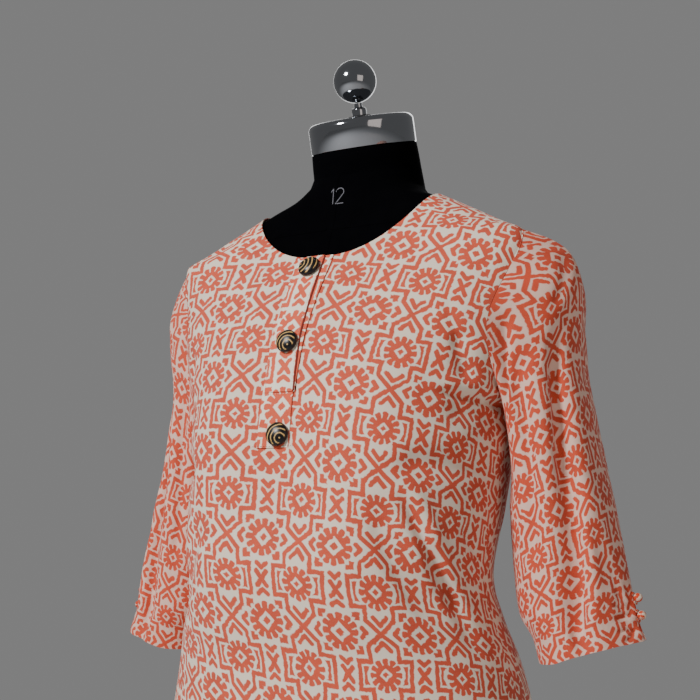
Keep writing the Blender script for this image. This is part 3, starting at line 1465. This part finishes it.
ball_profile = np.stack([np.sin(ball_angles), -np.cos(ball_angles)], axis=-1) * FINIAL_BALL_RADIUS
cap = turned("neck_cap_chrome", cap_profile, 144, along_neck(SEAM_GAP), chrome, 60)
washer = turned("finial_washer_rubber", washer_profile, 64, along_neck(washer_at), black_rubber)
nut = turned("finial_nut_chrome", nut_profile, 64, along_neck(nut_at), chrome)
ball_at = along_neck(FINIAL_BALL_HEIGHT)
ball_piece = turned("finial_ball_chrome", ball_profile, 112, ball_at, chrome, 60)
print("ball across in millimetres:", FINIAL_BALL_RADIUS * 2000)

# %% [markdown]
# ## Stand
#
# The base is a low dome of chromed steel, and a collar holds the pole at its middle.

# %% Stand
BASE_RADIUS = 0.185
BASE_THICKNESS = 0.010
BASE_DOME = 0.012
POLE_RADIUS = 0.016
COLLAR_RADIUS = 0.028
COLLAR_HEIGHT = 0.036
FORM_FOOT_Z = 0.780
upright = np.eye(4)
dome = np.linspace(0, 1, 18)
base_profile = [(0.0, 0.0), (BASE_RADIUS - 0.002, 0.0), (BASE_RADIUS - 0.0004, 0.0006)]
base_profile += [(BASE_RADIUS, 0.002), (BASE_RADIUS, BASE_THICKNESS - 0.003)]
base_profile += zip(
    BASE_RADIUS - 0.002 - (BASE_RADIUS - 0.002 - COLLAR_RADIUS * 1.6) * dome,
    BASE_THICKNESS - 0.0012 + (BASE_DOME + 0.0012) * np.sin(dome * math.pi / 2) ** 0.9,
)
base_profile.append((0.0, BASE_THICKNESS + BASE_DOME))
foot = BASE_THICKNESS + BASE_DOME + SEAM_GAP
pole_end = FORM_FOOT_Z - SEAM_GAP
pole_profile = rounded([
    (0.0, foot), (COLLAR_RADIUS, foot), (COLLAR_RADIUS, foot + COLLAR_HEIGHT * 0.7),
    (POLE_RADIUS * 1.15, foot + COLLAR_HEIGHT), (POLE_RADIUS, foot + COLLAR_HEIGHT + 0.002),
    (POLE_RADIUS, pole_end - 0.010), (COLLAR_RADIUS * 1.5, pole_end - 0.006),
    (COLLAR_RADIUS * 1.5, pole_end), (0.0, pole_end),
])
base = turned("stand_base_chrome", base_profile, 144, upright, chrome)
pole = turned("stand_pole_chrome", pole_profile, 72, upright, chrome)
print("base across in millimetres:", BASE_RADIUS * 2000)

# %% [markdown]
# ## The dress form
#
# A dress form is a moulded torso covered in stretched black jersey, sewn up its centre
# front and round the base of its neck. It carries the shoulders and the bust of the
# kurta, so its sections lie just inside the kurta's.

# %% Dress form
FORM_SECTIONS = (
    (0.780, 0.150, -0.092, 0.100, 0.004, 2.1),
    (0.790, 0.162, -0.100, 0.110, 0.004, 2.2),
    (0.830, 0.168, -0.102, 0.118, 0.004, 2.2),
    (0.900, 0.160, -0.100, 0.102, 0.002, 2.2),
    (0.995, 0.126, -0.088, 0.0665, -0.006, 2.1),
    (1.060, 0.138, -0.104, 0.083, -0.010, 2.2),
    (1.130, 0.158, -0.114, 0.100, -0.014, 2.2),
    (1.170, 0.165, -0.112, 0.104, -0.016, 2.15),
    (1.225, 0.178, -0.104, 0.105, -0.018, 2.1),
    (1.260, 0.185, -0.092, 0.104, -0.019, 2.05),
    (1.290, 0.190, -0.0775, 0.1020, -0.020, 2.0),
    (1.319, 0.1935, -0.0610, 0.0990, -0.021, 2.0),
    (1.3313, 0.1915, -0.0545, 0.0965, -0.0215, 2.0),
    (1.3369, 0.1890, -0.0525, 0.0955, -0.0205, 2.0),
    (1.3454, 0.1745, -0.0490, 0.0945, -0.0175, 2.0),
    (1.3654, 0.1372, -0.0420, 0.0915, -0.0095, 2.0),
    (1.383, 0.1025, -0.0385, 0.0895, -0.0020, 2.0),
    (1.395, 0.0780, -0.0370, 0.0900, 0.0120, 2.0),
    (1.408, 0.0635, -0.0350, 0.0905, 0.0278, 2.0),
)
FORM_HEIGHTS = (
    0.780, 0.790, 0.830, 0.900, 0.950, 0.995, 1.060, 1.095, 1.130, 1.170, 1.225, 1.260,
    1.290, 1.319, 1.331, 1.3365, 1.345, 1.358, 1.371, 1.383, 1.390, 1.398, 1.408,
)
FORM_COLUMNS = 144
FORM_SIDE = slice(3, -6)    # the rings of form_grid from the foot's rim to the neck


def form_grid():
    """Rings of the form from its foot to the neck's top, closed by flat ends."""
    heights = np.concatenate([
        np.linspace(a, b, 4, endpoint=False) for a, b in zip(FORM_HEIGHTS[:-1], FORM_HEIGHTS[1:])
    ] + [[FORM_HEIGHTS[-1]]])
    angle = np.linspace(0, 2 * math.pi, FORM_COLUMNS + 1)
    height, around = np.meshgrid(heights, angle, indexing="ij")
    torso = section_points(FORM_SECTIONS, around, height)
    torso[..., 1] -= bust_rise(torso, around, FORM_BUST_RISE)
    ahead = np.array([0.0, -math.cos(NECK_TILT), -math.sin(NECK_TILT)])
    circle = np.cos(angle)[:, None] * ahead + np.sin(angle)[:, None] * np.array([1.0, 0, 0])
    rings = [
        (neck_top - axis * below + circle * radius)[None]
        for below, radius in ((0.026, 0.0590), (0.014, 0.0585), (0.0012, 0.0576), (0.0, 0.0566))
    ]
    last = torso[-1:]
    first_ring = rings[0]
    between = [last + (first_ring - last) * t for t in (0.25, 0.5, 0.75)]
    foot_centre = torso[:1].mean(axis=1, keepdims=True)
    top_centre = rings[-1].mean(axis=1, keepdims=True)
    foot = [foot_centre + (torso[:1] - foot_centre) * t for t in (0.02, 0.5, 0.97)]
    top = [top_centre + (rings[-1] - top_centre) * t for t in (0.9, 0.5, 0.02)]
    return np.concatenate(foot + [torso] + between + rings + top)


form_points = form_grid()
form_rings = form_points[:, :-1]
form_ends = form_rings[[0, -1]].mean(axis=1)
form = skin("dress_form_jersey", form_rings, form_ends, black_jersey, 50)
print("dress form faces:", len(form.data.polygons))

# %% [markdown]
# ## Seams of the form
#
# The jersey is joined up the centre front and round the base of the neck.

# %% Seams of the form
form_normal = grid_normals(form_points)
NECK_SEAM_Z = 1.352
neck_row = int(np.argmin(np.abs(form_points[:, 0, 2] - NECK_SEAM_Z)))
form_seams = [
    ridge("form_seam_centre_front", form_points[FORM_SIDE, 0], form_normal[FORM_SIDE, 0],
          0.0007, black_jersey),
]
ring = form_points[neck_row, :-1]
form_seams.append(ridge("form_seam_neck", ring, form_normal[neck_row, :-1], 0.0008, black_jersey))
print("seams on the form:", len(form_seams))

# %% [markdown]
# ## The size numeral
#
# The form's size is stencilled on its neck. The two plain figures are thin strokes bent
# round the neck, drawn from a few straight and curved lines.

# %% Numeral
NUMERAL_Z = 1.389
NUMERAL_HEIGHT = 0.017
FIGURE_ONE = [(-0.16, 0.30), (0.0, 0.5), (0.0, -0.5)]
ARCH = np.linspace(3.0, -0.45, 12)
FIGURE_TWO = [*zip(0.27 * np.cos(ARCH), 0.24 + 0.26 * np.sin(ARCH)), (-0.28, -0.5), (0.30, -0.5)]
STROKE_POINTS = 60


def on_neck(x, height):
    """Points and outward normals of the form's front at x positions and heights. Each
    row of the form gives its y at every x, and the two rows next to a height are mixed."""
    rows = form_points[FORM_SIDE]
    near = np.concatenate([rows[:, -20:-1], rows[:, :20]], axis=1)
    depth = np.stack([np.interp(x, row[:, 0], row[:, 1]) for row in near])
    levels = rows[:, 0, 2]
    low = np.searchsorted(levels, height) - 1
    share = (height - levels[low]) / (levels[low + 1] - levels[low])
    each = np.arange(len(x))
    y = depth[low, each] * (1 - share) + depth[low + 1, each] * share
    normal = np.stack([x / 0.06, -np.ones_like(x), np.zeros_like(x)], axis=-1)
    return np.stack([x, y, height], axis=-1), unit(normal)


numeral = []
for name, figure, shift in (
    ("numeral_one", FIGURE_ONE, -0.0043),
    ("numeral_two", FIGURE_TWO, 0.0037),
):
    stroke = np.array(figure) * NUMERAL_HEIGHT
    steps = lengths_along(stroke)
    fine = np.linspace(0, steps[-1], STROKE_POINTS)
    x = np.interp(fine, steps, stroke[:, 0]) + shift
    height = np.interp(fine, steps, stroke[:, 1]) + NUMERAL_Z
    path, normal = on_neck(x, height)
    numeral.append(ridge(name, path + normal * 0.0001, normal, 0.0005, numeral_paint))
print("figures:", [piece.name for piece in numeral])

# %% [markdown]
# ## Front buttons
#
# Three black buttons with a low dome. Cream lines are inlaid as nested arcs that spread
# from a small curl near one edge. Each button is turned a little differently, as sewn.

# %% Button material and buttons
BUTTON_RADIUS = 0.0118
BUTTON_X = -0.0080
BUTTON_HEIGHTS = (1.3045, 1.2235, 1.1310)
BUTTON_ON_BAND = 0.0036             # back of a button off the front, over both bands
BUTTON_ON_BOX = 0.0026              # and over the end box


def inlaid_black():
    """Glossy black with cream arcs. The arcs are rings round a point near the edge, cut
    off by a second line so that they end in a leaf shape."""
    paint = Paint("button_black")
    flat = paint.flat()
    x, y = paint.two(flat)
    dx, dy = x - 0.30, y + 0.55
    radius = (dx * dx + dy * dy).root() + (paint.noise(flat, 2.0, 1.0) - 0.5) * 0.10
    rings = abs((radius * 2.8 + 0.30).fract() - 0.5)
    arcs = ((0.190 - rings) * 12).within()
    face = x * x + y * y
    inside = ((0.86 - face) * 12).within()
    above = ((radius - 0.20) * 14).within()
    dot = ((0.085 - radius) * 30).within()
    worn = ((paint.noise(flat, 9.0, 2.0) - 0.28) * 5).within()
    mask = (arcs * inside * above * worn + dot).within()
    colour = paint.mix(mask, (0.004, 0.004, 0.005, 1), linear(196, 158, 96))
    return paint.finish(
        Base_Color=colour, Roughness=0.30 + mask * 0.25, Specular_IOR_Level=0.35
    )


def flat_button(name, point, normal, spin, material):
    """A domed button with UV from -1 to 1 across its face."""
    radius, rim, rise = BUTTON_RADIUS, 0.0022, 0.0056
    profile = [(0.0, 0.0), (radius * 0.86, 0.0), (radius * 0.97, 0.0006), (radius, 0.0014)]
    dome = np.linspace(0.10, math.pi / 2, 16)[:-1]
    profile += [(radius, rim), *zip(radius * np.cos(dome), rim + rise * np.sin(dome))]
    profile += [(0.0, rim + rise)]
    piece = turned(name, profile, 72, np.eye(4), material, 60)
    mesh = piece.data
    places = np.empty(len(mesh.vertices) * 3)
    mesh.vertices.foreach_get("co", places)
    places = places.reshape(-1, 3)
    corners = np.empty(len(mesh.loops), np.int32)
    mesh.loops.foreach_get("vertex_index", corners)
    turn = np.array([[math.cos(spin), -math.sin(spin)], [math.sin(spin), math.cos(spin)]])
    flat = places[corners, :2] / radius @ turn
    mesh.uv_layers.new(name="flat").data.foreach_set("uv", flat.ravel())
    moved = placed(places, seated(point, normal))
    mesh.vertices.foreach_set("co", moved.ravel())
    mesh.update()
    return piece


button_black = inlaid_black()
front_buttons = []
for number, (height, spin) in enumerate(zip(BUTTON_HEIGHTS, (-2.07, 0.17, 0.34)), 1):
    lift = BUTTON_ON_BAND if height > BAND_END_Z else BUTTON_ON_BOX
    point, normal = on_front(np.array([BUTTON_X]), np.array([height]), np.array([lift]))
    front_buttons.append(
        flat_button(f"front_button_{number}", point[0], normal[0], spin, button_black)
    )
print("front buttons:", len(front_buttons))

# %% [markdown]
# ## Cuff buttons
#
# Small balls covered in the kurta's cloth are sewn on one edge of the cuff's slit. A
# loop of cloth from the other edge holds each one, and draws the cuff into gathers.

# %% Cuff buttons and loops
CUFF_BUTTON_RADIUS = 0.0042
CUFF_BUTTON_STEPS = (0.022, 0.038)   # heights above the cuff's edge


def slit_spot(side, above_edge):
    """Point and outward normal on the line of the cuff's slit."""
    turn = np.array([0.0])
    share = np.array([1 - above_edge / SLEEVE_LENGTH])
    point = sleeve_surface(turn, share)[0]
    normal = normals_of(sleeve_surface, turn, share, 0.06, 0.008)[0]
    if side == "right":
        point, normal = point * MIRROR, normal * MIRROR
    return point, normal


def loop_cloth():
    """The cotton seen as a cover: off-white with blurred touches of orange."""
    paint = Paint("loop_cloth")
    place = paint.place()
    touches = ((paint.noise(place, 240.0, 2.0) - 0.40) * 9).within()
    weave = paint.noise(place, 2600.0, 1.0)
    colour = paint.mix(touches, CLOTH_WARM, INK)
    return paint.finish(Base_Color=colour, Roughness=0.85, Normal=paint.bump(weave, 0.0003, 0.6))


def ball(name, point, normal, radius, material):
    """A covered button: a ball with soft pleats where its cloth is drawn to the shank."""
    turn = np.linspace(0, 2 * math.pi, 49)
    rise = np.linspace(0, math.pi, 25)
    rise, turn = np.meshgrid(rise, turn, indexing="ij")
    pleats = 1 + 0.05 * np.sin(9 * turn) * (0.5 + 0.5 * np.cos(rise)) * np.sin(rise)
    points = np.stack([
        radius * pleats * np.sin(rise) * np.cos(turn),
        radius * pleats * np.sin(rise) * np.sin(turn),
        -radius * np.cos(rise),
    ], axis=-1)
    matrix = seated(point + normal * (radius + SEAM_GAP), normal)
    points = placed(points, matrix)
    return skin(name, points[1:-1, :-1], points[[0, -1], 0], material)


def loop(name, point, normal, up, radius, material):
    """A rolled cloth loop lying round the ball's foot, its ends on the slit's edge."""
    side = np.cross(up, normal)
    turn = np.linspace(-2.5, 2.5, 48)
    wide = radius * 1.25
    path = (point + normal * 0.0012 + side * (np.cos(turn) * wide)[:, None]
            + up * (np.sin(turn) * wide * 0.95)[:, None])
    normals = np.broadcast_to(normal, path.shape)
    return ridge(name, path, normals, 0.0012, material)


covered = loop_cloth()
cuff_buttons = {}
cuff_loops = []
for side in ("left", "right"):
    for number, above_edge in enumerate(CUFF_BUTTON_STEPS, 1):
        point, normal = slit_spot(side, above_edge)
        upper, _ = slit_spot(side, above_edge + 0.004)
        up = (upper - point) / np.linalg.norm(upper - point)
        node = f"cuff_button_{side}_{number}"
        cuff_buttons[node] = ball(f"covered_{node}", point, normal, CUFF_BUTTON_RADIUS, covered)
        cuff_loops.append(
            loop(f"cuff_loop_{side}_{number}", point, normal, up, CUFF_BUTTON_RADIUS, covered)
        )
print("cuff buttons:", len(cuff_buttons), "loops:", len(cuff_loops))

# %% [markdown]
# ## What stands for which solid
#
# Every finished piece takes the place of its solid in the picture, and rides on the one
# rigid body, because cloth here has no joints.

# %% Pieces, nodes and finishes
stands_for = (
    (kurta_front, ["front"], "printed_cotton"),
    (kurta_back, ["back"], "printed_cotton"),
    (kurta_sleeves["left"], ["sleeve_left"], "printed_cotton"),
    (kurta_sleeves["right"], ["sleeve_right"], "printed_cotton"),
    (under_band, ["placket_under"], "printed_cotton"),
    (top_band, ["placket_top"], "printed_cotton"),
    (box_band, ["placket_box"], "printed_cotton"),
    (front_buttons[0], ["button_1"], "button_black"),
    (front_buttons[1], ["button_2"], "button_black"),
    (front_buttons[2], ["button_3"], "button_black"),
    (form, ["dress_form"], "black_jersey"),
    (cap, ["neck_cap"], "chrome"),
    (washer, ["finial_washer"], "black_rubber"),
    (nut, ["finial_nut"], "chrome"),
    (ball_piece, ["finial_ball"], "chrome"),
    (base, ["stand_base"], "chrome"),
    (pole, ["stand_pole"], "chrome"),
    *((piece, [node], "loop_cloth") for node, piece in cuff_buttons.items()),
)
for piece, nodes, finish in stands_for:
    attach(piece, "root")
    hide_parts(*nodes)
for finish, pieces in (
    ("printed_cotton", stitches + [fold_edge]),
    ("loop_cloth", cuff_loops),
    ("black_jersey", form_seams + numeral),
):
    for piece in pieces:
        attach(piece, "root")
print("pieces that stand for solids:", len(stands_for))

# %% [markdown]
# ## Cuts of the cloth
#
# Each large piece is declared as cloth with the rectangle that it is cut from: its width
# at the hem or the upper arm and its length, both measured along the cloth and with an
# allowance for seams and hem.

# %% Cuts of the cloth
CUTS = (
    (kurta_front, (0.64, 1.03), ["dress_form_jersey"], [under_band, top_band, box_band, fold_edge]),
    (kurta_back, (0.66, 1.06), ["dress_form_jersey"], []),
    (kurta_sleeves["left"], (0.37, 0.41), [], cuff_loops[:2]),
    (kurta_sleeves["right"], (0.37, 0.41), [], cuff_loops[2:]),
)
for piece, flat, rests_on, with_pieces in CUTS:
    areas = np.empty(len(piece.data.polygons))
    piece.data.polygons.foreach_get("area", areas)
    area = float(areas.sum()) / 2
    share = area / (flat[0] * flat[1])
    print(piece.name, "square metres:", round(area, 4), "share of its cut:", round(share, 3))

# %% [markdown]
# ## Room and light
#
# A pale even floor, as in a plain studio. The main light is high in front, on the wearer's
# right. A weak warm one stands on the wearer's left, and one behind lights the outline.

# %% Floor and lights
FLOOR_HALF = 6.0
floor_corners = np.array([(-1, -1, 0), (1, -1, 0), (1, 1, 0), (-1, 1, 0)]) * FLOOR_HALF
pale_floor = plain("pale_floor", (0.80, 0.80, 0.80, 1), 0.9, 3.0, 0.04)
floor = new_piece("floor", floor_corners, [(0, 1, 2, 3)], pale_floor)


def soft_light(name, place, target, size, power, colour=(1, 1, 1)):
    """A square area light that faces a target."""
    lamp = bpy.data.lights.new(name, "AREA")
    lamp.shape = "SQUARE"
    lamp.size = size
    lamp.energy = power
    lamp.color = colour
    return add_object(name, lamp, aim(Vector(place), Vector(target) - Vector(place)))


soft_light("key", (-0.95, -2.75, 2.85), (0.0, 0.0, 1.15), 0.6, 128.0)
soft_light("fill", (2.6, -1.6, 1.6), (0.0, 0.0, 1.1), 1.6, 11.0, (1.0, 0.86, 0.76))
soft_light("back", (-1.2, 2.8, 2.4), (0.0, 0.0, 1.1), 2.0, 30.0)
world = bpy.data.worlds.new("room")
world.use_nodes = True
background = world.node_tree.nodes["Background"].inputs
background["Color"].default_value = (1.0, 1.0, 1.0, 1)
background["Strength"].default_value = 0.21
bpy.context.scene.world = world
print("lights:", [lamp.name for lamp in bpy.data.lights])
